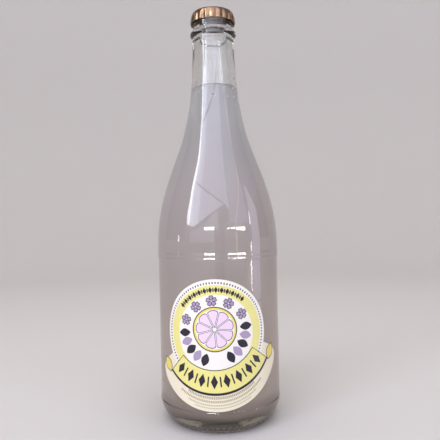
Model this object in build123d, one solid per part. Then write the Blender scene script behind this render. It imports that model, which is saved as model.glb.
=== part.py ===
from build123d import *
import os
from math import atan2, cos, degrees, hypot, pi, radians, sin

# Lemonade bottle for 750 ml, closed with a crown cap: clear glass, filled, with one paper label.
# Sizes are in millimetres. +Z runs up the bottle's axis, the standing ring lies in z = 0,
# the axis is x = y = 0 and the label faces -Y.
os.makedirs("parts", exist_ok=True)

# Glass body
bottle_height = 279.0            # standing ring to the sealing lip
panel_diameter = 81.8            # straight wall under the label
band_relief = 0.3                # how far heel and shoulder band stand proud of the panel
step_height = 0.8                # height over which a band steps in to the panel
heel_height = 16.0
panel_top_z = 110.0
band_top_z = 121.7
wall_thickness = 2.7
base_thickness = 8.0             # glass over the push-up
floor_rise = 15.0                # height over which the wall rounds into the floor
punt_height = 7.0                # push-up in the middle of the base

# Standing ring and the knurled heel beside it
bearing_diameter = 60.4          # outer edge of the flat ring
bearing_width = 2.8
knurl_count = 60
knurl_width = 1.7
knurl_depth = 0.35

# Neck and finish, for a 29 mm crown
neck_diameter = 28.9             # just under the transfer bead
neck_wall = 3.6
bead_diameter = 31.9
bead_height = 7.6
finish_height = 18.6             # lip down to the foot of the transfer bead
collar_diameter = 28.0
ring_diameter = 29.0             # locking ring that the crown grips
ring_drop = 3.0                  # lip down to the ring's upper edge
ring_height = 1.9
ring_undercut_height = 1.3
bore_diameter = 18.6
bore_blend_height = 8.0          # the bore opens into the neck over this height
mouth_round = 0.6
sealing_land_width = 2.1

# Drink
fill_z = 226.4                   # level of the drink

# Crown: tinplate shell and its liner
crown_height = 7.95
crown_diameter = 31.3            # over the flute crests at the skirt's edge
crown_flat_diameter = 25.2       # flat top
tin_thickness = 0.24
flute_count = 21
crown_slip_clearance = 0.08      # flute valleys to locking ring
liner_thickness = 0.4
liner_membrane = 0.25            # thinner middle of the liner
liner_edge_clearance = 0.1       # liner to the inside of the shell

# Label
paper_thickness = 0.12
label_centre_z = 65.2            # centre of the round head
label_tilt = 5.5                 # degrees, stuck on askew, left side low
label_head_radius = 34.0
label_foot_radius = 52.0
label_foot_drop = 48.0           # head centre down to the foot's lowest point
label_notch_angle = -18.7        # where the foot's shoulders leave the round head
label_foot_angle = -36.0         # where the foot's arc ends in its rounded corners

# Heel curve: shares of the heel height, and of the way from the bearing edge out to the band
heel_shares = [
    (0.000, 0.000),
    (0.059, 0.226),
    (0.176, 0.438),
    (0.353, 0.649),
    (0.588, 0.843),
    (0.824, 0.961),
    (1.000, 1.000),
]

# Floor inside: share of the inner radius, and share of the floor's rise above the base
floor_shares = [
    (0.58, 0.067),
    (0.88, 0.307),
]

# Shoulder and neck: share of the height from band to bead, and share of the radius left
shoulder_shares = [
    (0.00, 1.000),
    (0.07, 0.976),
    (0.14, 0.922),
    (0.21, 0.837),
    (0.28, 0.728),
    (0.35, 0.599),
    (0.42, 0.463),
    (0.50, 0.321),
    (0.58, 0.210),
    (0.66, 0.128),
    (0.75, 0.065),
    (0.86, 0.022),
    (1.00, 0.000),
]

# Crown profile: share of the crown height down from the top, share of the way out to the
# valley radius, and share of the full flute depth
crown_shares = [
    (0.000, 0.000, 0.00),
    (0.044, 0.450, 0.00),
    (0.151, 0.810, 0.05),
    (0.302, 0.955, 0.25),
    (0.453, 1.000, 0.52),
    (0.629, 1.000, 0.75),
    (0.805, 1.000, 0.90),
    (1.000, 1.000, 1.00),
]

# Rounded corner of the label's foot, as shares of the head radius from the head's centre
lobe_shares = [
    (1.282, -0.632),
    (1.212, -0.494),
]

# Sizes worked out from the ones above
panel_r = panel_diameter / 2
band_r = panel_r + band_relief
bearing_r = bearing_diameter / 2
bearing_inner_r = bearing_r - bearing_width
neck_r = neck_diameter / 2
bead_r = bead_diameter / 2
collar_r = collar_diameter / 2
ring_r = ring_diameter / 2
bore_r = bore_diameter / 2
neck_inner_r = neck_r - neck_wall
inner_r = panel_r - wall_thickness
land_inner_r = bore_r + mouth_round
land_outer_r = land_inner_r + sealing_land_width
neck_top_z = bottle_height - finish_height
bead_top_z = neck_top_z + bead_height
ring_top_z = bottle_height - ring_drop
ring_bottom_z = ring_top_z - ring_height
crown_top_z = bottle_height + liner_thickness + tin_thickness


def shoulder_points(radius_below, radius_above):
    """Stations of the shoulder curve between two radii, from the band up to the bead."""
    rise = neck_top_z - band_top_z
    points = []
    for up_share, out_share in shoulder_shares:
        radius = radius_above + out_share * (radius_below - radius_above)
        points.append((radius, band_top_z + up_share * rise))
    return points


def heel_points():
    """Stations of the outer heel curve, from the bearing edge up to the heel band."""
    reach = band_r - bearing_r
    return [(bearing_r + out * reach, up * heel_height) for up, out in heel_shares]


def turned(edges):
    """Solid of revolution about Z from profile edges in the XZ plane, given as (radius, z)."""
    return revolve(Plane.XZ * make_face(edges), Axis.Z)


def bead_edges():
    """Transfer bead: two soft flanks and a short upright crest."""
    crest_low_z = neck_top_z + bead_height / 4
    crest_high_z = neck_top_z + bead_height * 3 / 5
    upright = (0, 1)
    return [
        Spline((neck_r, neck_top_z), (bead_r, crest_low_z), tangents=[upright, upright]),
        Line((bead_r, crest_low_z), (bead_r, crest_high_z)),
        Spline((bead_r, crest_high_z), (collar_r, bead_top_z), tangents=[upright, upright]),
    ]


def outer_body():
    """Everything inside the bottle's outer skin, the push-up left open underneath."""
    heel = heel_points()
    shoulder = shoulder_points(band_r, neck_r)
    undercut_z = ring_bottom_z - ring_undercut_height
    punt_rise = punt_height / bearing_inner_r
    edges = [
        Spline((0, punt_height), (bearing_inner_r, 0), tangents=[(1, 0), (punt_rise, -1)]),
        Line((bearing_inner_r, 0), (bearing_r, 0)),
        Spline(*heel, tangents=[(1, punt_rise), (0, 1)]),
        Line((band_r, heel_height), (panel_r, heel_height + step_height)),
        Line((panel_r, heel_height + step_height), (panel_r, panel_top_z)),
        Line((panel_r, panel_top_z), (band_r, panel_top_z + step_height)),
        Line((band_r, panel_top_z + step_height), (band_r, band_top_z)),
        Spline(*shoulder, tangents=[(0, 1), (0, 1)]),
        *bead_edges(),
        Line((collar_r, bead_top_z), (collar_r, undercut_z)),
        Line((collar_r, undercut_z), (ring_r, ring_bottom_z)),
        Line((ring_r, ring_bottom_z), (ring_r, ring_top_z)),
        Spline((ring_r, ring_top_z), (land_outer_r, bottle_height), tangents=[(0, 1), (-1, 0)]),
        Line((land_outer_r, bottle_height), (0, bottle_height)),
        Line((0, bottle_height), (0, punt_height)),
    ]
    return turned(edges)


def cavity():
    """The room inside the glass, from the floor to the lip."""
    shoulder = shoulder_points(inner_r, neck_inner_r)
    floor_z = punt_height + base_thickness
    wall_foot_z = base_thickness + floor_rise
    floor = [(out * inner_r, base_thickness + up * floor_rise) for out, up in floor_shares]
    bore_low_z = neck_top_z + bore_blend_height
    round_z = bottle_height - mouth_round
    edges = [
        Spline((0, floor_z), *floor, (inner_r, wall_foot_z), tangents=[(1, 0), (0, 1)]),
        Line((inner_r, wall_foot_z), (inner_r, band_top_z)),
        Spline(*shoulder, tangents=[(0, 1), (0, 1)]),
        Spline((neck_inner_r, neck_top_z), (bore_r, bore_low_z), tangents=[(0, 1), (0, 1)]),
        Line((bore_r, bore_low_z), (bore_r, round_z)),
        Spline((bore_r, round_z), (land_inner_r, bottle_height), tangents=[(0, 1), (1, 0)]),
        Line((land_inner_r, bottle_height), (0, bottle_height)),
        Line((0, bottle_height), (0, floor_z)),
    ]
    return turned(edges)


def knurl_cutter():
    """One rod that grazes the heel, so that it leaves a shallow groove fading out at both ends."""
    (low_r, low_z), (mid_r, mid_z), (high_r, high_z) = heel_points()[1:4]
    run = high_r - low_r
    rise = high_z - low_z
    length = hypot(run, rise)
    rod_r = (knurl_width ** 2 / 4 + knurl_depth ** 2) / (2 * knurl_depth)
    stand_off = rod_r - knurl_depth
    place = (mid_r + stand_off * rise / length, 0, mid_z - stand_off * run / length)
    return Pos(*place) * Rot(0, degrees(atan2(run, rise)), 0) * Cylinder(rod_r, 2 * length)


def glass_bottle():
    """The blown bottle: push-up, standing ring, heel, label panel, neck and crown finish."""
    cutter = knurl_cutter()
    cutters = [Rot(0, 0, 360 * i / knurl_count) * cutter for i in range(knurl_count)]
    return outer_body() - cavity() - cutters


def lemonade():
    """The drink, filling the cavity up to its level."""
    keep = Pos(0, 0, fill_z / 2) * Cylinder(panel_r, fill_z)
    return cavity() & keep


def crown_section(depth_share, out_share, flute_share, inset):
    """Closed wavy outline of the crown at one height, moved in and down by the inset."""
    flat_r = crown_flat_diameter / 2
    valley_r = ring_r + crown_slip_clearance + tin_thickness
    flute_depth = crown_diameter / 2 - valley_r
    base_r = flat_r + out_share * (valley_r - flat_r) - inset
    points = []
    samples = 4 * flute_count
    for i in range(samples):
        turn = 2 * pi * i / samples
        wave = (1 + cos(flute_count * turn)) / 2
        radius = base_r + flute_share * flute_depth * wave
        points.append((radius * cos(turn), radius * sin(turn)))
    height = crown_top_z - depth_share * crown_height - inset
    return Pos(0, 0, height) * make_face(Spline(*points, periodic=True))


def crown_body(inset):
    """Solid through all crown sections."""
    return loft([crown_section(*row, inset) for row in crown_shares])


def crown_shell():
    """Pressed tinplate cap with a fluted skirt."""
    return crown_body(0) - crown_body(tin_thickness)


def crown_liner():
    """Moulded gasket: a sealing ring on the lip with a thinner membrane across the mouth."""
    radius = crown_flat_diameter / 2 - tin_thickness - liner_edge_clearance
    recess = liner_thickness - liner_membrane
    disc = Pos(0, 0, bottle_height + liner_thickness / 2) * Cylinder(radius, liner_thickness)
    hollow = Pos(0, 0, bottle_height + recess / 2) * Cylinder(bore_r, recess)
    return disc - hollow


def arc_points(centre_up, radius, start, end, count):
    """Points along an arc of the flat label, centred on the label's own upright axis."""
    turns = [radians(start + (end - start) * i / count) for i in range(count + 1)]
    return [(radius * cos(turn), centre_up + radius * sin(turn)) for turn in turns]


def on_bottle(point, skin_r):
    """Where a point of the flat, tilted label lands on the panel, seen from the front."""
    across, up = point
    tilt = radians(label_tilt)
    along = across * cos(tilt) - up * sin(tilt)
    height = across * sin(tilt) + up * cos(tilt)
    return (skin_r * sin(along / skin_r), label_centre_z + height)


def front_label():
    """Die-cut paper label: a round head on a wider crescent foot, wrapped round the panel."""
    skin_r = panel_r + paper_thickness
    foot_centre = label_foot_radius - label_foot_drop
    head = arc_points(0, label_head_radius, label_notch_angle, 180 - label_notch_angle, 24)
    foot = arc_points(foot_centre, label_foot_radius, -180 - label_foot_angle, label_foot_angle, 24)
    corner = [(label_head_radius * x, label_head_radius * y) for x, y in lobe_shares]
    mirrored = [(-x, y) for x, y in reversed(corner)]
    runs = [
        head,
        [head[-1], *mirrored, foot[0]],
        foot,
        [foot[-1], *corner, head[0]],
    ]
    edges = [Spline(*[on_bottle(point, skin_r) for point in run]) for run in runs]
    outline = Plane.XZ * make_face(edges)
    sheet_height = panel_top_z - heel_height
    sheet = Cylinder(skin_r, sheet_height) - Cylinder(panel_r, sheet_height)
    return (Pos(0, 0, heel_height + sheet_height / 2) * sheet) & extrude(outline, band_r)


nodes = {
    "glass_bottle": glass_bottle(),
    "lemonade": lemonade(),
    "front_label": front_label(),
    "crown_shell": crown_shell(),
    "crown_liner": crown_liner(),
}

for name, shape in nodes.items():
    export_step(shape, f"parts/{name}.step")
    print(name, round(shape.volume, 1), "mm3")
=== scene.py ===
import math

import bmesh
import bpy
import numpy as np
from mathutils import Matrix


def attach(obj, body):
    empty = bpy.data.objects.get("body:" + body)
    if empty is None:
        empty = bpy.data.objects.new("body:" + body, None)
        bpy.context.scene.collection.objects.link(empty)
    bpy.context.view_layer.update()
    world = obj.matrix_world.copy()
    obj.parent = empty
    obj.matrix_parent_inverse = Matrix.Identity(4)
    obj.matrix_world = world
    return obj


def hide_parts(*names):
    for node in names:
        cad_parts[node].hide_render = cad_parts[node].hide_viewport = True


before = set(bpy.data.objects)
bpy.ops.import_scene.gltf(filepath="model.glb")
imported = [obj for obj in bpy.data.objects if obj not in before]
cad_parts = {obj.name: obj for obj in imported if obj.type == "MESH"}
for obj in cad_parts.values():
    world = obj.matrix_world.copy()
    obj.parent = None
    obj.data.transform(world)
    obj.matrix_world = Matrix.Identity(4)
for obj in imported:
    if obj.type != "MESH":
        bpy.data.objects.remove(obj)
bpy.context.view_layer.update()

# Real sizes in millimetres: R is a radius, Z a height above the floor. They are those of the solids,
# but for the crests, the pinch, the waves and the meniscus, which the solids lack, and for the deeper
# knurls, the rounder bead and the fuller flutes.
MM = 0.001

# Body: the label panel is sunk between the bands of the heel and the shoulder
PANEL_R = 40.9
BAND_R = 41.2
STEP = 0.8
BAND_ROUND = 0.3
HEEL_Z = 16.0
HEEL_SLOPE = 0.15
PANEL_TOP_Z = 110.0
BAND_TOP_Z = 121.7

# Crests over the panel: where each stands, how far out, and how far it runs back above
CRESTS = [(111.0, 0.24, 1.6), (113.5, 0.28, 2.0)]
CREST_RISE = 0.8

# Cavity, push-up and standing ring
INNER_R = 38.2
BASE = 8.0
FLOOR_RISE = 15.0
PUNT_Z = 7.0
PUNT_SLOPE = 0.4
BEARING_R = 30.2
BEARING_IN_R = 27.4
EDGE_ROUND = 0.2

# Knurls of the heel, deepest at one height and run out below and above it
KNURLS = 60
KNURL_DEPTH = 0.8
KNURL_Z = 2.8
KNURL_BELOW = 1.9
KNURL_ABOVE = 2.9

# Neck, which runs out into the bore from the pinch upwards
NECK_R = 14.45
NECK_IN_R = 10.85
NECK_TOP_Z = 260.4
PINCH_Z = 240.0
BORE_R = 9.3
BORE_LOW_Z = 268.4

# Transfer bead: it starts, is full and falls off this far over the neck, and ends this far below its top
BEAD_R = 15.95
BEAD_H = 7.6
BEAD_START = 0.8
BEAD_FULL = 3.4
BEAD_FALL = 4.2
BEAD_END = 0.6

# Collar, locking ring and lip
COLLAR_R = 14.0
RING_R = 14.5
RING_TOP_Z = 276.0
RING_LOW_Z = 274.1
UNDERCUT_Z = 272.8
LIP_Z = 279.0
MOUTH_ROUND = 0.6
LAND_IN_R = 9.9
LAND_OUT_R = 12.0

# Waves of the blown wall die out towards the axis and under the top of the neck
WAVE = 0.5
WAVE_LENGTH = 24.0
WAVE_STRETCH = 3
WAVE_FULL_R = 26.0
WAVE_FADE = 24.0

# Drink: its level, how far it is set into the glass, and its edge, in from the wall and up from the level
FILL_Z = 226.4
DRINK_LAP = 0.15
MENISCUS = [(0.0, 0.9), (0.25, 0.85), (0.5, 0.7), (1.1, 0.25), (2.6, 0.03)]

# Crown, with the round of its cut edge, in from the skirt and up from its rim
CROWN_TOP_Z = 279.64
CROWN_H = 7.95
CROWN_R = 15.67
CROWN_FLAT_R = 12.6
CROWN_VALLEY_R = 14.82
CROWN_SLOPE = 0.1
TIN = 0.24
FLUTES = 21
CUT_EDGE = [(0.0, 0.07), (0.04, 0.01), (0.12, 0.0), (0.20, 0.02)]
CUT_EDGE_H = 0.1

# Liner: sealing ring and membrane, with the ring's inner foot, out from the bore and up from the lip
LINER_Z = 279.4
LINER_ROUND = 0.15
LINER_GAP = 0.1
LINER_FOOT = [(0.05, 0.0), (0.0, 0.05), (0.0, 0.14), (-0.1, 0.15)]
# Stations under and over the membrane and on the lip, between its corners
LINER_STATIONS_R = (5, 6, 11)

# Label: a round head on a wider foot, stuck on askew; the turns are in degrees
PAPER = 0.12
GLUE = 0.01
LAYER = 0.025
LABEL_Z = 65.2
LABEL_TILT = 5.5
HEAD_R = 34.0
FOOT_R = 52.0
FOOT_UP = 4.0
NOTCH = -18.7
FOOT_END = -36.0
LOBE = [(43.59, -21.49), (41.21, -16.80)]

# Outlines as shares of the sizes that they follow
HEEL_SHARES = [
    (0.000, 0.000), (0.059, 0.226), (0.176, 0.438), (0.353, 0.649),
    (0.588, 0.843), (0.824, 0.961), (1.000, 1.000),
]
FLOOR_SHARES = [(0.58, 0.067), (0.88, 0.307)]
SHOULDER_SHARES = [
    (0.00, 1.000), (0.07, 0.976), (0.14, 0.922), (0.21, 0.837), (0.28, 0.728),
    (0.35, 0.599), (0.42, 0.463), (0.50, 0.321), (0.58, 0.210), (0.66, 0.128),
    (0.75, 0.065), (0.86, 0.022), (1.00, 0.000),
]
CROWN_SHARES = [
    (0.000, 0.000, 0.00), (0.044, 0.450, 0.00), (0.151, 0.810, 0.05), (0.302, 0.955, 0.25),
    (0.453, 1.000, 0.52), (0.629, 1.000, 0.75), (0.805, 1.000, 0.90), (1.000, 1.000, 1.00),
]

UP, DOWN, OUT, IN = (0, 1), (0, -1), (1, 0), (-1, 0)
# In metres: points closer than the first are one, and an edge shorter than the second is none
ONE_POINT, NO_EDGE = 1e-7, 1e-8

MATH = "ShaderNodeMath"
VECTOR_MATH = "ShaderNodeVectorMath"


# Colours and nodes

def ink(code):
    """The linear colour of an sRGB hex value."""
    shares = [int(code[i:i + 2], 16) / 255 for i in (1, 3, 5)]
    return (*[c / 12.92 if c <= 0.04045 else ((c + 0.055) / 1.055) ** 2.4 for c in shares], 1.0)


def add(tree, kind, sockets=(), **settings):
    """Adds a node with its settings; sockets holds its links and values, in order or by name."""
    node = tree.nodes.new(kind)
    for name, value in settings.items():
        setattr(node, name, value)
    shown = [socket for socket in node.inputs if socket.enabled]
    for key, value in sockets.items() if isinstance(sockets, dict) else enumerate(sockets):
        if value is None:
            continue
        socket = shown[key] if isinstance(key, int) else node.inputs[key]
        if isinstance(value, bpy.types.Node):
            value = next(out for out in value.outputs if out.enabled)
        if isinstance(value, bpy.types.NodeSocket):
            tree.links.new(value, socket)
        else:
            socket.default_value = value
    return node


def new_tree(name, inputs):
    """An empty tree for pieces, with its named inputs: sizes, counts and the finish."""
    tree = bpy.data.node_groups.new(name, "GeometryNodeTree")
    tree.interface.new_socket("Shape", in_out="INPUT", socket_type="NodeSocketGeometry")
    for label, kind in inputs.items():
        tree.interface.new_socket(label, in_out="INPUT", socket_type="NodeSocket" + kind)
    tree.interface.new_socket("Finish", in_out="INPUT", socket_type="NodeSocketMaterial")
    tree.interface.new_socket("Piece", in_out="OUTPUT", socket_type="NodeSocketGeometry")
    return tree, add(tree, "NodeGroupInput").outputs


def made_plain(name, shape, tree, sizes, finish):
    """Runs a tree over a shape and keeps what it makes as a plain mesh."""
    seed = bpy.data.objects.new(name + "_seed", shape)
    bpy.context.scene.collection.objects.link(seed)
    modifier = seed.modifiers.new(tree.name, "NODES")
    modifier.node_group = tree
    for item in tree.interface.items_tree:
        if item.in_out == "INPUT" and item.socket_type != "NodeSocketGeometry":
            modifier[item.identifier] = finish if item.name == "Finish" else sizes[item.name]
    bpy.context.view_layer.update()
    graph = bpy.context.evaluated_depsgraph_get()
    mesh = bpy.data.meshes.new_from_object(seed.evaluated_get(graph), depsgraph=graph)
    bpy.data.objects.remove(seed)
    mesh.name = name
    mesh.materials.clear()
    mesh.materials.append(finish)
    piece = bpy.data.objects.new(name, mesh)
    bpy.context.scene.collection.objects.link(piece)
    return piece


# Turned walls: one tree turns a profile round the bottle's axis

def turned_wall():
    """Each station of the profile says how much of the flutes and of the waviness it takes."""
    tree, given = new_tree("turned_wall", {
        "Stations": "Int", "Sides": "Int", "Flutes": "Float", "Flute depth": "Float",
        "Flute sharpness": "Float", "Waviness": "Float", "Wave length": "Float",
    })
    columns = add(tree, MATH, [given["Sides"], 1], operation="ADD")
    grid = add(tree, "GeometryNodeMeshGrid", {"Vertices X": columns, "Vertices Y": given["Stations"]})
    index = add(tree, "GeometryNodeInputIndex")
    row = add(tree, MATH, [index, given["Stations"]], operation="MODULO")
    middle = add(tree, MATH, [index, 0.5], operation="ADD")
    share = add(tree, MATH, [middle, given["Stations"]], operation="DIVIDE")
    column = add(tree, MATH, [share], operation="FLOOR")
    turn_share = add(tree, MATH, [column, given["Sides"]], operation="DIVIDE")
    turn = add(tree, MATH, [turn_share, math.tau], operation="MULTIPLY")

    station = add(tree, "GeometryNodeSampleIndex", [
        given["Shape"], add(tree, "GeometryNodeInputPosition"), row], data_type="FLOAT_VECTOR")
    takes = {}
    for key in ("flute", "wave"):
        stored = add(tree, "GeometryNodeInputNamedAttribute", [key], data_type="FLOAT")
        takes[key] = add(tree, "GeometryNodeSampleIndex", [given["Shape"], stored, row], data_type="FLOAT")

    around = add(tree, MATH, [turn, given["Flutes"]], operation="MULTIPLY")
    swing = add(tree, MATH, [around], operation="COSINE")
    ripple = add(tree, MATH, [swing, 0.5, 0.5], operation="MULTIPLY_ADD")
    sharp = add(tree, MATH, [ripple, given["Flute sharpness"]], operation="POWER")
    fluting = add(tree, MATH, [sharp, given["Flute depth"]], operation="MULTIPLY")
    fluting = add(tree, MATH, [fluting, takes["flute"]], operation="MULTIPLY")

    spot = add(tree, "ShaderNodeVectorRotate", {"Vector": station, "Angle": turn}, rotation_type="Z_AXIS")
    # The gob sags while it is blown, so the waves are stretched up the wall
    drawn = add(tree, VECTOR_MATH, [spot, (1, 1, 1 / WAVE_STRETCH)], operation="MULTIPLY")
    scale = add(tree, MATH, [1.0, given["Wave length"]], operation="DIVIDE")
    noise = add(tree, "ShaderNodeTexNoise", {"Vector": drawn, "Scale": scale, "Detail": 1.0})
    centred = add(tree, MATH, [noise, 0.5], operation="SUBTRACT")
    waving = add(tree, MATH, [centred, given["Waviness"]], operation="MULTIPLY")
    waving = add(tree, MATH, [waving, takes["wave"]], operation="MULTIPLY")

    out = add(tree, "ShaderNodeCombineXYZ", [add(tree, MATH, [fluting, waving], operation="ADD")])
    outward = add(tree, "ShaderNodeVectorRotate", {"Vector": out, "Angle": turn}, rotation_type="Z_AXIS")
    place = add(tree, VECTOR_MATH, [spot, outward], operation="ADD")
    moved = add(tree, "GeometryNodeSetPosition", {"Geometry": grid, "Position": place})
    closed = add(tree, "GeometryNodeMergeByDistance", {"Geometry": moved, "Distance": ONE_POINT})
    whole = add(tree, "GeometryNodeRealizeInstances", {"Geometry": closed})
    finished = add(tree, "GeometryNodeSetMaterial", {"Geometry": whole, "Material": given["Finish"]})
    add(tree, "NodeGroupOutput", {"Piece": finished})
    return tree


TURNED_WALL = turned_wall()


def faced_outwards(piece, closed):
    """Merges double points, drops faces of no size, smooths the rest and points them outwards."""
    shape = bmesh.new()
    shape.from_mesh(piece.data)
    bmesh.ops.remove_doubles(shape, verts=shape.verts, dist=ONE_POINT)
    bmesh.ops.dissolve_degenerate(shape, edges=shape.edges, dist=NO_EDGE)
    if closed:
        bmesh.ops.recalc_face_normals(shape, faces=shape.faces)
    for face in shape.faces:
        face.smooth = True
        # An open print lies round the axis, so outwards is away from it
        if not closed and face.normal.dot(face.calc_center_median()) < 0:
            face.normal_flip()
    shape.to_mesh(piece.data)
    shape.free()
    return piece


def turned(
        name, rows, finish, sides, flutes=0, flute_depth=0.0, sharpness=1.0, waviness=0.0, wave_length=30.0):
    """Turns rows of (radius, height, flute share, wave share) and makes the faces point outwards."""
    rows = [(*row, 0.0, 0.0)[:4] for row in rows]
    profile = bpy.data.meshes.new(name + "_profile")
    joined = [(i, i + 1) for i in range(len(rows) - 1)]
    profile.from_pydata([(r * MM, 0, z * MM) for r, z, _, _ in rows], joined, [])
    for column, key in ((2, "flute"), (3, "wave")):
        stored = profile.attributes.new(key, "FLOAT", "POINT")
        stored.data.foreach_set("value", [row[column] for row in rows])
    piece = made_plain(name, profile, TURNED_WALL, {
        "Stations": len(rows), "Sides": sides, "Flutes": float(flutes), "Flute depth": flute_depth * MM,
        "Flute sharpness": sharpness, "Waviness": waviness * MM, "Wave length": wave_length * MM,
    }, finish)
    return faced_outwards(piece, closed=True)


# Profiles

def smooth_path(stations, leaving, arriving, per_span):
    """A cubic through the stations with an even bend, in given directions at its two ends."""
    p = np.array(stations, float)
    chord = np.linalg.norm(np.diff(p[:, :2], axis=0), axis=1)
    last = len(p) - 1
    a = np.eye(last + 1)
    b = np.zeros_like(p)
    b[0] = np.array(leaving, float) / np.linalg.norm(leaving[:2])
    b[last] = np.array(arriving, float) / np.linalg.norm(arriving[:2])
    for i in range(1, last):
        before, after = chord[i - 1], chord[i]
        a[i, i - 1:i + 2] = after, 2 * (before + after), before
        b[i] = 3 * (before * (p[i + 1] - p[i]) / after + after * (p[i] - p[i - 1]) / before)
    slope = np.linalg.solve(a, b)
    out = []
    for i in range(last):
        for t in np.arange(per_span) / per_span:
            out.append(
                p[i] * (2 * t**3 - 3 * t**2 + 1) + p[i + 1] * (3 * t**2 - 2 * t**3)
                + chord[i] * (slope[i] * (t**3 - 2 * t**2 + t) + slope[i + 1] * (t**3 - t**2))
            )
    out.append(p[last])
    return [tuple(q) for q in out]


def soft_corner(before, corner, after, reach):
    """Five points that round a corner within a small reach."""
    c = np.array(corner[:2], float)
    u, v = np.array(before[:2]) - c, np.array(after[:2]) - c
    a = c + u / np.linalg.norm(u) * reach
    b = c + v / np.linalg.norm(v) * reach
    return [tuple(a * (1 - t) ** 2 + c * 2 * t * (1 - t) + b * t**2) for t in (0, 0.25, 0.5, 0.75, 1)]


def between(a, b, step):
    """Points strictly between two ends, about a step apart."""
    a, b = np.array(a[:2], float), np.array(b[:2], float)
    count = max(1, round(np.linalg.norm(b - a) / step))
    return [tuple(a + (b - a) * i / count) for i in range(1, count)]


def eased(t):
    """A share from 0 to 1 that starts and ends softly."""
    t = min(1.0, max(0.0, t))
    return t * t * (3 - 2 * t)


def shoulder(low_r, high_r):
    """The long slope from the body to the neck."""
    rise = NECK_TOP_Z - BAND_TOP_Z
    stations = [(high_r + out * (low_r - high_r), BAND_TOP_Z + up * rise) for up, out in SHOULDER_SHARES]
    return smooth_path(stations, UP, UP, per_span=4)


def inner_wall(into_glass):
    """From the middle of the floor up to the foot of the bore."""
    wall_r = INNER_R + into_glass
    stations = [(out * wall_r, BASE + up * FLOOR_RISE - into_glass) for out, up in FLOOR_SHARES]
    stations = [(0, PUNT_Z + BASE - into_glass), *stations, (wall_r, BASE + FLOOR_RISE)]
    rows = smooth_path(stations, OUT, UP, per_span=10)
    rows += between(rows[-1], (wall_r, BAND_TOP_Z), step=5) + shoulder(wall_r, NECK_IN_R + into_glass)
    return [(r, z, 0.0, eased(r / WAVE_FULL_R) * eased((NECK_TOP_Z - z) / WAVE_FADE)) for r, z in rows]


def crested(row):
    """Low crests run round the wall over the panel: each swells out fast and runs back slowly above."""
    r, z, *shares = row
    for crest_z, height, fall in CRESTS:
        below = eased((z - crest_z + CREST_RISE) / CREST_RISE)
        r += height * min(below, max(0.0, 1 - max(0.0, z - crest_z) / fall))
    return (r, z, *shares)


def pinched(row):
    """The neck runs out slowly into the narrower bore."""
    r, z, *shares = row
    return (r - (NECK_IN_R - BORE_R) * eased((z - PINCH_Z) / (BORE_LOW_Z - PINCH_Z)), z, *shares)


def knurl_share(z):
    """How deep the knurling tool bites at a height: a lens that runs out at both ends."""
    reach = KNURL_BELOW if z < KNURL_Z else KNURL_ABOVE
    return max(0.0, 1 - ((z - KNURL_Z) / reach) ** 2)


def glass_rows():
    """From the push-up up the outside to the lip, and down the inside to the floor."""
    push_up = smooth_path(
        [(0, PUNT_Z), (BEARING_IN_R, 0)], OUT, (PUNT_Z, -BEARING_IN_R * PUNT_SLOPE), per_span=14)
    rows = push_up[:-1] + soft_corner(push_up[-2], (BEARING_IN_R, 0), (BEARING_R, 0), EDGE_ROUND)
    rows += between(rows[-1], (BEARING_R, 0), step=1.0)
    stations = [(BEARING_R + out * (BAND_R - BEARING_R), up * HEEL_Z) for up, out in HEEL_SHARES]
    heel = smooth_path(stations, (1, HEEL_SLOPE), UP, per_span=6)
    rows += [(r, z, knurl_share(z)) for r, z in heel[:-1]]
    corners = [
        (BAND_R, 0), (BAND_R, HEEL_Z), (PANEL_R, HEEL_Z + STEP), (PANEL_R, PANEL_TOP_Z),
        (BAND_R, PANEL_TOP_Z + STEP), (BAND_R, BAND_TOP_Z),
    ]
    for before, corner, after in zip(corners, corners[1:], corners[2:]):
        rows += soft_corner(before, corner, after, BAND_ROUND)
        # Fine rows carry the crests
        rows += between(rows[-1], after, step=4.0 if after[1] < PANEL_TOP_Z + STEP else 0.4)
    rows = [crested(row) for row in rows]
    rows += shoulder(BAND_R, NECK_R)
    rows += smooth_path(
        [(NECK_R, NECK_TOP_Z + BEAD_START), (BEAD_R, NECK_TOP_Z + BEAD_FULL)], UP, UP, per_span=8)
    rows += smooth_path(
        [(BEAD_R, NECK_TOP_Z + BEAD_FALL), (COLLAR_R, NECK_TOP_Z + BEAD_H - BEAD_END)], UP, UP, per_span=8)
    undercut, ring_low, ring_top = (COLLAR_R, UNDERCUT_Z), (RING_R, RING_LOW_Z), (RING_R, RING_TOP_Z)
    rows += between(rows[-1], undercut, step=1.5)
    rows += soft_corner(rows[-1], undercut, ring_low, EDGE_ROUND)
    rows += soft_corner(undercut, ring_low, ring_top, EDGE_ROUND)
    rows += smooth_path([ring_top, (LAND_OUT_R, LIP_Z)], UP, IN, per_span=8)
    rows += between(rows[-1], (LAND_IN_R, LIP_Z), step=0.7)
    rows += smooth_path([(LAND_IN_R, LIP_Z), (BORE_R, LIP_Z - MOUTH_ROUND)], IN, DOWN, per_span=5)
    rows += between(rows[-1], (BORE_R, BORE_LOW_Z), step=2.0)
    inside = between((NECK_IN_R, BORE_LOW_Z), (NECK_IN_R, NECK_TOP_Z), step=2.0) + inner_wall(0)[::-1]
    return rows + [(BORE_R, BORE_LOW_Z)] + [pinched(row) for row in inside]


def drink_rows():
    """Set a little into the glass, so that no air shows between them, and up the wall by its meniscus."""
    wall = inner_wall(DRINK_LAP)
    rows = [row for row in wall if row[1] < FILL_Z]
    neck = [row for row in wall if row[1] > BAND_TOP_Z]
    edge_z = FILL_Z + MENISCUS[0][1]
    edge_r = float(np.interp(edge_z, [row[1] for row in neck], [row[0] for row in neck]))
    climb = [(edge_r - inwards, FILL_Z + up) for inwards, up in MENISCUS]
    return rows + climb[:2] + smooth_path([*climb[2:], (0, FILL_Z)], (-0.5, -1), IN, per_span=6)


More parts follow.
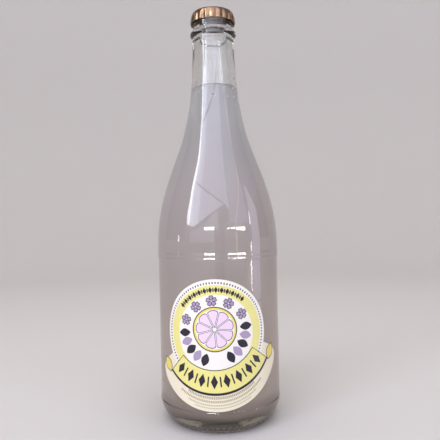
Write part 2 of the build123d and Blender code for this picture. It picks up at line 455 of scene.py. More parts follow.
def crown_rows():
    """Over the shell, round its cut edge and back up inside."""
    sides = []
    for inset in (0, TIN):
        stations = []
        for down, out, flute in CROWN_SHARES:
            r = CROWN_FLAT_R + out * (CROWN_VALLEY_R - CROWN_FLAT_R) - inset
            stations.append((r, CROWN_TOP_Z - down * CROWN_H - inset, flute, flute))
        sides.append(smooth_path(stations, (1, -CROWN_SLOPE, 0, 0), (*DOWN, 0, 0), per_span=5))
    outside, inside = sides
    rim_r, rim_z, *_ = outside[-1]
    flat_stations = 7
    flat = [(x, CROWN_TOP_Z, 0.0) for x in np.linspace(0, CROWN_FLAT_R, flat_stations)[:-1]]
    edge = [(rim_r - inwards, rim_z + up, 1, 1) for inwards, up in CUT_EDGE]
    back = [row for row in inside[::-1] if row[1] > rim_z + CUT_EDGE_H]
    under = [(x, CROWN_TOP_Z - TIN, 0.0) for x in np.linspace(CROWN_FLAT_R - TIN, 0, flat_stations)[1:]]
    return flat + outside[:-1] + edge + back + under


def liner_rows():
    """A sealing ring on the lip with a thinner membrane across the mouth."""
    edge, membrane_z = CROWN_FLAT_R - TIN - LINER_GAP, LIP_Z + LINER_ROUND
    under, over, on_lip = LINER_STATIONS_R
    back = [(0, LINER_Z), (over, LINER_Z), (edge - LINER_ROUND, LINER_Z), (edge, LINER_Z - LINER_ROUND)]
    seat = [(edge, membrane_z), (edge - LINER_ROUND, LIP_Z), (on_lip, LIP_Z)]
    foot = [(BORE_R + outwards, LIP_Z + up) for outwards, up in LINER_FOOT]
    return back + seat + foot + [(under, membrane_z), (0, membrane_z)]


# Materials

def new_material(name):
    """An empty material and its node tree."""
    material = bpy.data.materials.new(name)
    material.use_nodes = True
    material.node_tree.nodes.clear()
    return material, material.node_tree


def flint_glass():
    """Flint glass, blown in an iron mould: clear, fire-polished, and grey only through its thick parts."""
    material, tree = new_material("flint_glass_blown")
    place = add(tree, "ShaderNodeTexCoord").outputs["Object"]
    # Chill marks of the mould, 12 mm across, bend what is mirrored a little
    chill_mark = 12 * MM
    chill = add(tree, "ShaderNodeTexNoise", {"Vector": place, "Scale": 1 / chill_mark, "Detail": 1.0})
    dimple = add(tree, "ShaderNodeBump", {"Strength": 0.06, "Distance": 0.5 * MM, "Height": chill})
    # Cords of the melt run up the wall, 2.2 mm apart and twelve times as long
    cord, cord_length = 2.2 * MM, 12
    drawn = add(tree, VECTOR_MATH, [place, (1, 1, 1 / cord_length)], operation="MULTIPLY")
    cords = add(tree, "ShaderNodeTexNoise", {"Vector": drawn, "Scale": 1 / cord, "Detail": 1.0})
    streak = add(tree, "ShaderNodeBump", {
        "Strength": 0.25, "Distance": 0.1 * MM, "Height": cords, "Normal": dimple})
    glass = add(tree, "ShaderNodeBsdfPrincipled", {
        "Base Color": ink("#FCFEFD"), "Roughness": 0.01, "IOR": 1.52, "Transmission Weight": 1.0,
        "Normal": streak,
    })
    depth = add(tree, "ShaderNodeVolumeAbsorption", {"Color": ink("#B4AC94"), "Density": 28.0})
    add(tree, "ShaderNodeOutputMaterial", {"Surface": glass, "Volume": depth})
    return material


def cloudy_lemonade():
    """Cloudy lemonade, milky where its pulpy body is deep and clearer in the thin neck; painted shade makes
    the low body warmer, and a painted reflection tints the neck faint blue.
    """
    material, tree = new_material("lemonade_cloudy")
    place = add(tree, "ShaderNodeTexCoord").outputs["Object"]
    flat = add(tree, VECTOR_MATH, [place, (1, 1, 0)], operation="MULTIPLY")
    radius = add(tree, VECTOR_MATH, [flat], operation="LENGTH").outputs["Value"]
    thin_r, deep_r = 11 * MM, 34 * MM
    deep = add(tree, "ShaderNodeMapRange", {
        "Value": radius, "From Min": thin_r, "From Max": deep_r}, interpolation_type="SMOOTHSTEP")
    clear = add(tree, "ShaderNodeMapRange", {"Value": deep, "To Min": 0.74, "To Max": 0.5})
    height = add(tree, "ShaderNodeSeparateXYZ", [place]).outputs["Z"]
    # Painted shade: the body's tone is warmer low down, where it stands in shade, and fades to the cooler
    # tone above
    shade_low_z, shade_top_z = 20 * MM, 150 * MM
    shade_fade = add(tree, "ShaderNodeMapRange", {
        "Value": height, "From Min": shade_low_z, "From Max": shade_top_z}, interpolation_type="SMOOTHSTEP")
    pulp_and_shade = add(tree, "ShaderNodeMix", [shade_fade, ink("#F1DFD2"), ink("#EEE5E3")], data_type="RGBA")
    # Painted reflection: the thin neck's faint blue stands for the lilac window light mirrored in it
    tone = add(tree, "ShaderNodeMix", [deep, ink("#F6F7FA"), pulp_and_shade], data_type="RGBA")
    drink = add(tree, "ShaderNodeBsdfPrincipled", {
        "Base Color": tone, "Roughness": 0.12, "IOR": 1.335, "Transmission Weight": clear,
    })
    depth = add(tree, "ShaderNodeVolumeAbsorption", {"Color": ink("#DDD3C6"), "Density": 6.0})
    add(tree, "ShaderNodeOutputMaterial", {"Surface": drink, "Volume": depth})
    return material


def gold_tinplate():
    """Tinplate under gold lacquer, pressed: bright, with the lacquer thinner and paler in spots."""
    material, tree = new_material("tinplate_gold_lacquered")
    place = add(tree, "ShaderNodeTexCoord").outputs["Object"]
    # Lacquer flow, 3 mm, and the rolling grain of the sheet, drawn at 0.5 mm so that it shows
    flow_spot, grain_width = 3 * MM, 0.5 * MM
    flow = add(tree, "ShaderNodeTexNoise", {"Vector": place, "Scale": 1 / flow_spot, "Detail": 3.0})
    grain = add(tree, "ShaderNodeTexNoise", {"Vector": place, "Scale": 1 / grain_width, "Detail": 2.0})
    tone = add(tree, "ShaderNodeMix", [flow, ink("#5C442A"), ink("#B5936A")], data_type="RGBA")
    rough = add(tree, "ShaderNodeMapRange", {"Value": grain, "To Min": 0.2, "To Max": 0.34})
    relief = add(tree, "ShaderNodeBump", {"Strength": 0.2, "Distance": 0.03 * MM, "Height": grain})
    metal = add(tree, "ShaderNodeBsdfPrincipled", {
        "Base Color": tone, "Metallic": 1.0, "Roughness": rough, "Normal": relief,
        "Coat Weight": 0.5, "Coat Roughness": 0.08,
    })
    add(tree, "ShaderNodeOutputMaterial", {"Surface": metal})
    return material


def liner_compound():
    """Liner compound, moulded in the cap: soft, off-white and dull."""
    material, tree = new_material("liner_compound_moulded")
    place = add(tree, "ShaderNodeTexCoord").outputs["Object"]
    # Cloudiness of the compound, 0.8 mm
    cloud = 0.8 * MM
    pores = add(tree, "ShaderNodeTexNoise", {"Vector": place, "Scale": 1 / cloud, "Detail": 2.0})
    tone = add(tree, "ShaderNodeMix", [pores, ink("#D6D5CF"), ink("#E8E7E2")], data_type="RGBA")
    soft = add(tree, "ShaderNodeBsdfPrincipled", {"Base Color": tone, "Roughness": 0.55})
    add(tree, "ShaderNodeOutputMaterial", {"Surface": soft})
    return material


def bubble_with_painted_glint():
    """Carbonation bubbles, and drops above the level, clinging to the wall: small specks, near-white and
    nearly opaque, each a painted glint.
    """
    material, tree = new_material("carbonation_bubble_painted_glint")
    # Painted glint: the skin is near-white and nearly opaque, so each ball shows as a bright speck
    painted_glint_skin = add(tree, "ShaderNodeBsdfPrincipled", {
        "Base Color": ink("#FCFCFF"), "Roughness": 0.08, "IOR": 1.4, "Transmission Weight": 0.1})
    add(tree, "ShaderNodeOutputMaterial", {"Surface": painted_glint_skin})
    return material


def label_stock(name, code, worn, gloss, shows):
    """Coated label paper, bare or under offset ink: its mottle shows in the tone, its fibre in the gloss."""
    material, tree = new_material(name)
    place = add(tree, "ShaderNodeTexCoord").outputs["Object"]
    # Mottle of the sheet, 1.4 mm; the fibre is 0.02 mm thick and drawn at 0.3 mm so that it shows
    mottle_spot, fibre_width = 1.4 * MM, 0.3 * MM
    mottle = add(tree, "ShaderNodeTexNoise", {"Vector": place, "Scale": 1 / mottle_spot, "Detail": 3.0})
    fibre = add(tree, "ShaderNodeTexNoise", {"Vector": place, "Scale": 1 / fibre_width, "Detail": 2.0})
    share = add(tree, MATH, [mottle, shows], operation="MULTIPLY")
    tone = add(tree, "ShaderNodeMix", [share, ink(code), ink(worn)], data_type="RGBA")
    relief = add(tree, "ShaderNodeBump", {"Strength": 0.15, "Distance": 0.02 * MM, "Height": fibre})
    sheet = add(tree, "ShaderNodeBsdfPrincipled", {"Base Color": tone, "Roughness": gloss, "Normal": relief})
    add(tree, "ShaderNodeOutputMaterial", {"Surface": sheet})
    return material


GLASS = flint_glass()
DRINK = cloudy_lemonade()
GOLD = gold_tinplate()
COMPOUND = liner_compound()
BUBBLE = bubble_with_painted_glint()
STOCK = label_stock("label_paper_coated", "#F7F0D3", "#EFE4C1", 0.46, 0.5)
YELLOW = label_stock("offset_ink_pale_yellow", "#F0E985", "#F4F0B2", 0.42, 0.4)
GOLDEN = label_stock("offset_ink_golden_yellow", "#F1DD62", "#F4E58C", 0.42, 0.4)
WHITE = label_stock("offset_ink_white", "#FBFAEE", "#F5F2E2", 0.42, 0.4)
PINK = label_stock("offset_ink_pale_pink", "#F3D9F0", "#F7E6F3", 0.42, 0.4)
LILAC = label_stock("offset_ink_lilac_grey", "#AC9AB8", "#BDAEC6", 0.42, 0.4)
PLUM = label_stock("offset_ink_plum_black", "#1D1626", "#332A3F", 0.36, 0.4)
OLIVE = label_stock("offset_ink_olive_grey", "#8C8860", "#A8A57A", 0.42, 0.4)


# Bottle, drink, crown and liner

WAVY = dict(waviness=WAVE, wave_length=WAVE_LENGTH)
glass = turned(
    "glass_wall", glass_rows(), GLASS, sides=KNURLS * 5, flutes=KNURLS, flute_depth=-KNURL_DEPTH,
    sharpness=2.0, **WAVY)
drink = turned("drink_body", drink_rows(), DRINK, sides=240, **WAVY)
crown = turned(
    "crown_pressed_shell", crown_rows(), GOLD, sides=FLUTES * 12, flutes=FLUTES,
    flute_depth=CROWN_R - CROWN_VALLEY_R, sharpness=0.65, waviness=0.3, wave_length=2.4)
liner = turned("crown_gasket", liner_rows(), COMPOUND, sides=96)


# Bubbles: one tree strews them on the wall of the neck, which widens downwards

def strewn_bubbles():
    """Balls of chance size at chance places between the top and the depth."""
    tree, given = new_tree("strewn_bubbles", {
        "Count": "Int", "Top radius": "Float", "Widening": "Float", "Flare": "Float",
        "Top": "Float", "Depth": "Float", "Smallest": "Float", "Largest": "Float", "Seed": "Int",
    })
    chance = []
    for extra in range(3):
        seed = add(tree, MATH, [given["Seed"], extra], operation="ADD")
        chance.append(add(tree, "FunctionNodeRandomValue", [0.0, 1.0, None, seed], data_type="FLOAT"))
    fall = add(tree, MATH, [chance[0], given["Depth"]], operation="MULTIPLY")
    height = add(tree, MATH, [given["Top"], fall], operation="SUBTRACT")
    bend = add(tree, MATH, [fall, given["Flare"], given["Widening"]], operation="MULTIPLY_ADD")
    radius = add(tree, MATH, [fall, bend, given["Top radius"]], operation="MULTIPLY_ADD")
    turn = add(tree, MATH, [chance[1], math.tau], operation="MULTIPLY")
    start = add(tree, "ShaderNodeCombineXYZ", [radius, None, height])
    spot = add(tree, "ShaderNodeVectorRotate", {"Vector": start, "Angle": turn}, rotation_type="Z_AXIS")
    points = add(tree, "GeometryNodePoints", {"Count": given["Count"], "Position": spot})
    ball = add(tree, "GeometryNodeMeshIcoSphere", {"Radius": 1.0, "Subdivisions": 2})
    size = add(tree, "ShaderNodeMapRange", {
        "Value": chance[2], "To Min": given["Smallest"], "To Max": given["Largest"]})
    laid = add(tree, "GeometryNodeInstanceOnPoints", {"Points": points, "Instance": ball, "Scale": size})
    whole = add(tree, "GeometryNodeRealizeInstances", {"Geometry": laid})
    finished = add(tree, "GeometryNodeSetMaterial", {"Geometry": whole, "Material": given["Finish"]})
    add(tree, "NodeGroupOutput", {"Piece": finished})
    return tree


bubbles = made_plain("drink_bubbles", bpy.data.meshes.new("bubble_seat"), strewn_bubbles(), {
    "Count": 44, "Top radius": 11.5 * MM, "Widening": 0.0643, "Flare": 1.86,
    "Top": (FILL_Z + 12) * MM, "Depth": 26 * MM, "Smallest": 0.3 * MM, "Largest": 0.75 * MM, "Seed": 5,
}, BUBBLE)
bubbles.data.shade_smooth()


# Label. A flat shape is (points across and up, faces), in millimetres from its turning centre.

def band_between(left, right, across=1):
    """Fills the space between two chains of points."""
    points, faces = [], []
    for a, b in zip(left, right):
        for k in range(across + 1):
            points.append((a[0] + (b[0] - a[0]) * k / across, a[1] + (b[1] - a[1]) * k / across))
    width = across + 1
    for i in range(len(left) - 1):
        for k in range(across):
            j = i * width + k
            faces.append((j, j + 1, j + 1 + width, j + width))
    return points, faces


def arc(radius, start, end, count):
    """Points along an arc, its ends in degrees."""
    turns = [math.radians(start + (end - start) * i / count) for i in range(count + 1)]
    return [(radius * math.cos(t), radius * math.sin(t)) for t in turns]


def ring(inner, outer, start=0.0, end=360.0):
    """A flat ring or an arc of one, in steps that stay fine enough to bend with the panel."""
    least, step_round, step_out = 8, 1.2, 1.5
    count = max(least, round(abs(end - start) / 360 * math.tau * outer / step_round))
    across = max(1, round((outer - inner) / step_out))
    return band_between(arc(inner, start, end, count), arc(outer, start, end, count), across)


def turned_flat(shape, degrees, across=0.0, up=0.0):
    """A flat shape turned about its centre, then moved."""
    c, s = math.cos(math.radians(degrees)), math.sin(math.radians(degrees))
    return [(x * c - y * s + across, x * s + y * c + up) for x, y in shape[0]], shape[1]


def together(*shapes):
    """Several flat shapes as one."""
    points, faces = [], []
    for shape in shapes:
        faces += [tuple(i + len(points) for i in face) for face in shape[1]]
        points += shape[0]
    return points, faces


def petal(start, end, half_width, blunt=0.0, steps=12):
    """A leaf or petal along the upright line, pointed at both ends or blunt at its tip."""
    fullness = 0.85
    left, right = [], []
    for i in range(steps + 1):
        t = i / steps
        w = half_width * max(0.0, math.sin(math.pi * t * (1 - blunt / 2))) ** fullness
        left.append((-w, start + (end - start) * t))
        right.append((w, start + (end - start) * t))
    return band_between(left, right, across=4)


def blossom(start, end, half_width):
    """A small flower of blunt petals round its middle."""
    petals, blunt = 5, 0.5
    one = petal(start, end, half_width, blunt)
    return together(*[turned_flat(one, 360 / petals * k) for k in range(petals)])


def lozenge(half_width, half_height):
    """A square on its point, drawn out upright."""
    left = [(-half_width * (1 - abs(t)), half_height * t) for t in (-1, -0.5, 0, 0.5, 1)]
    return band_between(left, [(-x, y) for x, y in left], across=4)


def bar(width, height):
    """An upright bar with a row of points at each millimetre."""
    steps = np.linspace(0, height, 2 + round(height))
    return band_between([(-width / 2, y) for y in steps], [(width / 2, y) for y in steps])


def wedge(inner, outer, half_angle, gap):
    """One segment of a cut fruit, with its outer corners rounded."""
    rounded_from, rounded_over, squareness = 0.78, 0.23, 2.2
    left, right = [], []
    steps = 12
    for i in range(steps + 1):
        t = i / steps
        r = inner + (outer - inner) * t
        w = max(0.0, r * math.tan(math.radians(half_angle)) - gap)
        w *= math.sqrt(max(0.0, 1 - max(0.0, (t - rounded_from) / rounded_over) ** squareness))
        left.append((-w, r))
        right.append((w, r))
    return band_between(left, right, across=6)


def wrapped_print():
    """Repeats a flat shape round its turning centre and lays it on the panel."""
    tree, given = new_tree("wrapped_print", {
        "Copies": "Int", "First turn": "Float", "Turn between": "Float", "Centre up": "Float",
        "Tilt": "Float", "Panel radius": "Float", "Lift": "Float", "Head height": "Float",
    })
    index = add(tree, "GeometryNodeInputIndex")
    turn = add(tree, MATH, [index, given["Turn between"], given["First turn"]], operation="MULTIPLY_ADD")
    leaning = add(tree, MATH, [turn, given["Tilt"]], operation="ADD")
    # Seen from the front, a turn to the left is a negative one about Y
    to_left = add(tree, MATH, [leaning, -1.0], operation="MULTIPLY")
    about_y = add(tree, "ShaderNodeCombineXYZ", [None, to_left])
    centre = add(tree, "ShaderNodeVectorRotate", {
        "Vector": add(tree, "ShaderNodeCombineXYZ", [None, None, given["Centre up"]]),
        "Angle": add(tree, MATH, [given["Tilt"], -1.0], operation="MULTIPLY"),
    }, rotation_type="Y_AXIS")
    points = add(tree, "GeometryNodePoints", {"Count": given["Copies"], "Position": centre})
    laid = add(tree, "GeometryNodeInstanceOnPoints", {
        "Points": points, "Instance": given["Shape"], "Rotation": about_y})
    whole = add(tree, "GeometryNodeRealizeInstances", {"Geometry": laid})
    flat = add(tree, "ShaderNodeSeparateXYZ", [add(tree, "GeometryNodeInputPosition")]).outputs
    angle = add(tree, MATH, [flat["X"], given["Panel radius"]], operation="DIVIDE")
    skin = add(tree, MATH, [given["Panel radius"], given["Lift"]], operation="ADD")
    forward = add(tree, MATH, [flat["Y"], skin], operation="SUBTRACT")
    height = add(tree, MATH, [flat["Z"], given["Head height"]], operation="ADD")
    upright = add(tree, "ShaderNodeCombineXYZ", [None, forward, height])
    bent = add(tree, "ShaderNodeVectorRotate", {"Vector": upright, "Angle": angle}, rotation_type="Z_AXIS")
    moved = add(tree, "GeometryNodeSetPosition", {"Geometry": whole, "Position": bent})
    again = add(tree, "GeometryNodeRealizeInstances", {"Geometry": moved})
    finished = add(tree, "GeometryNodeSetMaterial", {"Geometry": again, "Material": given["Finish"]})
    add(tree, "NodeGroupOutput", {"Piece": finished})
    return tree


WRAPPED_PRINT = wrapped_print()


def wrapped(name, points, faces, finish, lift, copies=1, first=0.0, step=0.0, centre_up=0.0):
    """Lays a flat shape on the label panel; a third number of a point is its depth in the sheet."""
    flat = bpy.data.meshes.new(name + "_flat")
    flat.from_pydata([(p[0] * MM, (p[2] if len(p) > 2 else 0.0) * MM, p[1] * MM) for p in points], [], faces)
    piece = made_plain(name, flat, WRAPPED_PRINT, {
        "Copies": copies, "First turn": math.radians(first), "Turn between": math.radians(step),
        "Centre up": centre_up * MM, "Tilt": math.radians(LABEL_TILT),
        "Panel radius": PANEL_R * MM, "Lift": lift * MM, "Head height": LABEL_Z * MM,
    }, finish)
    return faced_outwards(piece, closed=False)


def label_outline():
    """Round head, notches, lobes and the wide foot, going round from the right notch."""
    head = arc(HEAD_R, NOTCH, 180 - NOTCH, count=150)
    foot = [(x, y + FOOT_UP) for x, y in arc(FOOT_R, -180 - FOOT_END, FOOT_END, count=90)]
    sides = []
    for stations in ([head[-1], *[(-x, y) for x, y in LOBE[::-1]], foot[0]], [foot[-1], *LOBE, head[0]]):
        leaving, arriving = np.subtract(stations[1], stations[0]), np.subtract(stations[-1], stations[-2])
        sides.append(smooth_path(stations, leaving, arriving, per_span=8)[1:-1])
    return head + sides[0] + foot + sides[1]


def label_sheet():
    """Die-cut paper with its two faces and its cut edge, on rings that shrink towards the middle."""
    outline = label_outline()
    count, rings = len(outline), 22
    points, faces = [], []
    for depth in (-PAPER, 0.0):
        for k in range(rings, 0, -1):
            points += [(x * k / rings, y * k / rings, depth) for x, y in outline]
        points.append((0, 0, depth))
    side = rings * count + 1
    for i in range(count):
        j = (i + 1) % count
        for base in (0, side):
            for k in range(base, base + (rings - 1) * count, count):
                faces.append((k + i, k + j, k + count + j, k + count + i))
            innermost, middle = base + (rings - 1) * count, base + rings * count
            faces.append((innermost + i, innermost + j, middle))
        faces.append((j, i, side + i, side + j))
    return points, faces


paper = wrapped("label_paper_sheet", *label_sheet(), STOCK, lift=GLUE)
# The sheet is closed, and its cut edge stays crisp
CRISP = math.radians(40)
shape = bmesh.new()
shape.from_mesh(paper.data)
bmesh.ops.recalc_face_normals(shape, faces=shape.faces)
for edge in shape.edges:
    edge.smooth = edge.calc_face_angle(0.0) < CRISP
shape.to_mesh(paper.data)
shape.free()

# Each print: name, flat shape, ink, layer, copies, first turn, turn between, height of its turning
# centre, and how far out from there it stands. Turn 0 is straight up, and a turn runs to the left.
WHEEL_UP = 3.0
BAND_UP = 8.0
BAND_IN, BAND_OUT = 30.6, 44.4
leaf = petal(15.8, 24.0, 2.5)
lemon = petal(-4.9, 4.9, 3.1)
lemon_edge = petal(-5.6, 5.6, 3.6)
# Where the lemons lie: their turn, then across and up from the middle of the head
LEFT_END, RIGHT_END = (30, -37.6, -18.4), (-30, 37.6, -18.4)
flower = blossom(0.6, 3.0, 1.0)
flower_edge = blossom(0.3, 3.4, 1.4)
PRINTS = [
    ("label_head_rim", ring(30.3, 33.8, -34, 214), WHITE, 1, 1, 0, 0, 0, 0),
    ("label_edge_dashes", bar(0.72, 1.2), PLUM, 2, 108, 0, 360 / 108, 0, 31.1),
    ("label_yellow_ring", ring(24.4, 30.4), YELLOW, 1, 1, 0, 0, 0, 0),
    ("label_white_disc", ring(0.0, 24.5), WHITE, 1, 1, 0, 0, 0, 0),
    ("label_ring_lozenges", lozenge(1.3, 1.9), PLUM, 2, 13, 45, -7.5, 0, 27.4),
    ("label_ring_bars", bar(0.8, 2.4), PLUM, 2, 12, 41.25, -7.5, 0, 26.2),
    ("label_wheel_edge", ring(13.4, 14.0), PLUM, 3, 1, 0, 0, WHEEL_UP, 0),
    ("label_wheel_rind", ring(12.2, 13.5), GOLDEN, 2, 1, 0, 0, WHEEL_UP, 0),
    ("label_wheel_pith", ring(0.0, 12.3), WHITE, 2, 1, 0, 0, WHEEL_UP, 0),
    ("label_wheel_segment_edges", wedge(1.1, 11.9, 20, 0.25), PLUM, 3, 9, 0, 40, WHEEL_UP, 0),
    ("label_wheel_segments", wedge(1.8, 11.5, 20, 0.55), PINK, 4, 9, 0, 40, WHEEL_UP, 0),
    ("label_leaves_left", leaf, PLUM, 3, 3, 92, 32, WHEEL_UP, 0),
    ("label_leaves_right", leaf, PLUM, 3, 3, -92, -32, WHEEL_UP, 0),
    ("label_pale_leaves_left", leaf, LILAC, 3, 2, 108, 32, WHEEL_UP, 0),
    ("label_pale_leaves_right", leaf, LILAC, 3, 2, -108, -32, WHEEL_UP, 0),
    ("label_flower_edges", flower_edge, PLUM, 3, 5, 60, -30, 0, 20.7),
    ("label_flowers", flower, LILAC, 4, 5, 60, -30, 0, 20.7),
    ("label_band_edge", ring(BAND_IN - 0.5, BAND_OUT + 1.5, -139, -41), PLUM, 5, 1, 0, 0, BAND_UP, 0),
    ("label_band", ring(BAND_IN, BAND_OUT, -138.4, -41.6), YELLOW, 6, 1, 0, 0, BAND_UP, 0),
    ("label_band_lozenges", lozenge(2.2, 4.4), PLUM, 7, 8, 222, -12, BAND_UP, 37.5),
    ("label_band_bars", bar(0.9, 6.4), PLUM, 7, 7, 216, -12, BAND_UP, 34.3),
    ("label_lemon_edge_left", turned_flat(lemon_edge, *LEFT_END), PLUM, 3, 1, 0, 0, 0, 0),
    ("label_lemon_left", turned_flat(lemon, *LEFT_END), GOLDEN, 4, 1, 0, 0, 0, 0),
    ("label_lemon_edge_right", turned_flat(lemon_edge, *RIGHT_END), PLUM, 3, 1, 0, 0, 0, 0),
    ("label_lemon_right", turned_flat(lemon, *RIGHT_END), GOLDEN, 4, 1, 0, 0, 0, 0),
    ("label_foot_wide_bars", bar(0.55, 1.7), OLIVE, 1, 40, 180 + 29.25, -1.5, FOOT_UP, 42.6),
    ("label_foot_bars", bar(0.5, 1.5), OLIVE, 1, 52, 180 + 35.7, -1.4, FOOT_UP, 45.1),
    ("label_foot_fine_bars", bar(0.4, 1.0), OLIVE, 1, 46, 180 + 27, -1.2, FOOT_UP, 47.6),
    ("label_foot_finest_bars", bar(0.4, 0.8), OLIVE, 1, 36, 180 + 21, -1.2, FOOT_UP, 49.4),
]
prints = []
for name, (points, faces), finish, layer, copies, first, step, centre_up, out in PRINTS:
    points = [(x, y + out) for x, y in points]
    lift = PAPER + GLUE + LAYER * layer
    prints.append(wrapped(name, points, faces, finish, lift, copies, first, step, centre_up))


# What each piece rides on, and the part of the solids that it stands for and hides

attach(glass, "bottle")
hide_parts("glass_bottle")
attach(drink, "bottle")
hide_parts("lemonade")
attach(bubbles, "bottle")
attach(paper, "bottle")
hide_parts("front_label")
for piece in prints:
    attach(piece, "bottle")
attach(crown, "crown")
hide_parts("crown_shell")
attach(liner, "crown")
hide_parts("crown_liner")


# Stage

def plain(name, code, strength=None):
    """A plain matt paint, or light of one colour from the front of a card whose back can't be seen."""
    material, tree = new_material(name)
    if strength is None:
        surface = add(tree, "ShaderNodeBsdfDiffuse", {"Color": ink(code)})
    else:
        behind = add(tree, "ShaderNodeNewGeometry").outputs["Backfacing"]
        light = add(tree, "ShaderNodeEmission", {"Color": ink(code), "Strength": strength})
        surface = add(tree, "ShaderNodeMixShader", [behind, light, add(tree, "ShaderNodeBsdfTransparent")])
    add(tree, "ShaderNodeOutputMaterial", {"Surface": surface})
    return material


def stage_mesh(name, points, faces, material):
    """A mesh that belongs to the stage and not to the object."""
    mesh = bpy.data.meshes.new(name)
    mesh.from_pydata(points, [], faces)
    mesh.materials.append(material)
    thing = bpy.data.objects.new(name, mesh)
    bpy.context.scene.collection.objects.link(thing)
    return thing


def sweep():
    """A round pale floor whose rim rises on every side and closes above like a light tent."""
    inner, rim, bend, top, closed = 0.4, 1.6, 0.7, 2.7, 0.001
    sides, low_bends, high_bends = 96, 12, 8
    profile = [(inner, 0.0), (rim - bend, 0.0)]
    for a in np.linspace(0, math.pi / 2, low_bends + 1)[1:]:
        profile.append((rim - bend + bend * math.sin(a), bend - bend * math.cos(a)))
    for a in np.linspace(0, math.pi / 2, high_bends + 1):
        profile.append((rim - bend + bend * math.cos(a), top - bend + bend * math.sin(a)))
    profile.append((closed, top))
    points = [(0, 0, 0)]
    for r, z in profile:
        turns = [math.tau * i / sides for i in range(sides)]
        points += [(r * math.cos(t), r * math.sin(t), z) for t in turns]
    faces = [(0, 1 + i, 1 + (i + 1) % sides) for i in range(sides)]
    for low in range(1, 1 + (len(profile) - 1) * sides, sides):
        high = low + sides
        for i in range(sides):
            j = (i + 1) % sides
            faces.append((low + i, high + i, high + j, low + j))
    thing = stage_mesh("stage_sweep", points, faces, plain("stage_pale_paint", "#CDCAC2"))
    thing.data.shade_smooth()


# Degrees from the label's front to the camera's line
CAMERA_TURN = 3.36


def card(name, stations, distance, code, strength=None, lights=False, through=True):
    """
    A curved card: stations of (turn from the camera's line, low, high), heights in metres.
    The glass always mirrors it; it may also light the paper and the floor, and show through the glass.
    """
    turns = [turn for turn, _, _ in stations]
    points = []
    count = max(2, round((turns[-1] - turns[0]) / 2))
    for turn in np.linspace(turns[0], turns[-1], count + 1):
        t = math.radians(CAMERA_TURN + turn)
        for side in (1, 2):
            height = np.interp(turn, turns, [station[side] for station in stations])
            points.append((distance * math.sin(t), -distance * math.cos(t), height))
    faces = [(2 * i + 1, 2 * i + 3, 2 * i + 2, 2 * i) for i in range(count)]
    thing = stage_mesh("stage_" + name, points, faces, plain("stage_paint_" + name, code, strength))
    thing.visible_camera = False
    thing.visible_shadow = False
    thing.visible_diffuse = lights
    thing.visible_transmission = through


sweep()

# Distances of the cards from the axis and the height of the window, in metres
WINDOW_OUT, ROOM_OUT, BAR_OUT, NEAR_OUT, CLOSE_OUT = 1.1, 1.12, 1.05, 0.5, 0.13
FLAG_OUT, FLAG_NEAR_OUT = 1.3, 0.45
TALL = 2.4

# The window, cut by the shadow lines that cross its picture in the shoulder
card("window_edge", [(-59.5, 0.365, TALL), (-53.6, 0.345, TALL)], WINDOW_OUT, "#EEF1FF", 14.0)
card("window_high_left", [(-53.6, 0.99, TALL), (-36, 0.955, TALL)], WINDOW_OUT, "#D6D8F2", 4.6, lights=True)
card("window_high", [
    (-36, 0.955, TALL), (-21.6, 0.92, TALL), (-2.9, 0.84, TALL), (15.6, 0.72, TALL), (24, 0.6, TALL),
], WINDOW_OUT, "#D2D0EC", 3.5, lights=True)
card("window_low_left", [
    (-53.6, 0.345, 0.955), (-44, 0.34, 0.935), (-36, 0.385, 0.915),
], WINDOW_OUT, "#E0E4FA", 5.4, lights=True)
card("window_low", [
    (-36, 0.385, 0.915), (-32, 0.41, 0.905), (-13, 0.534, 0.855), (-2.9, 0.61, 0.80), (13.5, 0.69, 0.71),
], WINDOW_OUT, "#D9D9F2", 3.8, lights=True)
card("room_left", [
    (-52, 0.1, 0.30), (-44, 0.1, 0.30), (-26, 0.1, 0.38), (2, 0.1, 0.60),
], ROOM_OUT, "#D2CBDC", 2.2, lights=True)
card("window_right", [(24, 0.40, TALL), (62, 0.36, TALL)], WINDOW_OUT, "#C9D0EE", 1.8, lights=True)
card("window_far_right", [(62, 0.60, TALL), (112, 0.60, TALL)], WINDOW_OUT, "#C4CAE6", 0.5)
card("window_bar", [(33.0, 0.05, 0.42), (37.5, 0.05, 0.42)], BAR_OUT, "#F4DCD0", 2.6)
card("window_bar_high", [(35.0, 0.34, 0.44), (62.0, 0.98, 1.12)], BAR_OUT, "#F4DCD0", 2.6)
# Lamps that leave the rows of dashes over the label, and the glints of the sides and the neck
card("left_dash", [(-25, 0.318, 0.352), (-4.4, 0.318, 0.352)], WINDOW_OUT, "#FFFFFF", 28.0)
card("right_dash", [
    (19, 0.326, 0.334), (30, 0.322, 0.336), (33, 0.305, 0.34), (47, 0.29, 0.325), (50, 0.275, 0.335),
    (53, 0.285, 0.325),
], WINDOW_OUT, "#FFFFFF", 28.0)
card("side_lamp", [(62.6, 0.022, 0.11), (65.0, 0.022, 0.11)], NEAR_OUT, "#FFFFFF", 16.0)
card("side_lamp_high", [(63.6, 0.225, 0.295), (65.4, 0.225, 0.295)], NEAR_OUT, "#FFFFFF", 12.0)
card("side_glow", [(66, 0.01, 0.46), (72, 0.01, 0.44), (84, 0.01, 0.30)], NEAR_OUT, "#D5CFEA", 2.8)
card("side_glow_near", [
    (59, 0.004, 0.072), (75, 0.004, 0.066),
], CLOSE_OUT, "#D5CFEA", 2.6, through=False)
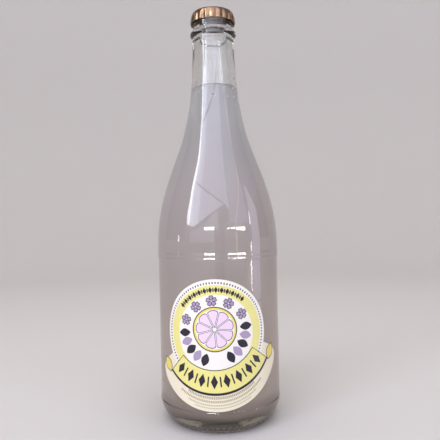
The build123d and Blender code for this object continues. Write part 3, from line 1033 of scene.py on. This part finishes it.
card("left_glint", [(-74.8, 0.118, 0.167), (-73.4, 0.118, 0.167)], NEAR_OUT, "#FFFFFF", 16.0)
card("neck_glint_left", [
    (-146, 0.644, 0.658), (-143.5, 0.644, 0.658),
], WINDOW_OUT, "#FFFFFF", 16.0, through=False)
card("neck_glint_right", [
    (142, 0.644, 0.656), (144.5, 0.644, 0.656),
], WINDOW_OUT, "#FFFFFF", 16.0, through=False)
card("window_behind", [(171, 0.3, TALL), (189, 0.3, TALL)], WINDOW_OUT, "#DAD6EE", 2.4, through=False)
# Dark flags keep the glass and the crown from mirroring pale paint on every side
FLAG = "#86807C"
card("flag_left", [(-112, 0.0, TALL), (-62, 0.0, TALL)], FLAG_OUT, FLAG, through=False)
card("flag_right", [(66, 0.0, TALL), (112, 0.0, TALL)], FLAG_OUT, FLAG, through=False)
card("flag_middle", [(-5, 0.0, 0.205), (13, 0.0, 0.205)], FLAG_NEAR_OUT, FLAG, through=False)

lamp = bpy.data.lights.new("softbox_above", "AREA")
lamp.shape = "RECTANGLE"
lamp.size, lamp.size_y = 1.6, 1.6
lamp.energy = 13.0
lamp.color = (1.0, 0.96, 0.90)
above = bpy.data.objects.new("softbox_above", lamp)
above.location = (0.0, -0.1, 1.7)
above.visible_glossy = False
bpy.context.scene.collection.objects.link(above)

bpy.context.scene.view_settings.view_transform = "Standard"


# Camera: level, a hand's height above the floor, and leaning as it was held

DISTANCE, ASIDE, EYE_Z, LEAN = 0.3485, 0.0021, 0.1356, -1.25
lens = bpy.data.cameras.new("camera")
lens.lens = 40.83
lens.sensor_width = 36
lens.clip_start = 0.01
camera = bpy.data.objects.new("camera", lens)
camera.matrix_world = (
    Matrix.Rotation(math.radians(CAMERA_TURN), 4, "Z") @ Matrix.Translation((ASIDE, -DISTANCE, EYE_Z))
    @ Matrix.Rotation(math.radians(90), 4, "X") @ Matrix.Rotation(math.radians(LEAN), 4, "Z")
)
bpy.context.scene.collection.objects.link(camera)
bpy.context.scene.camera = camera
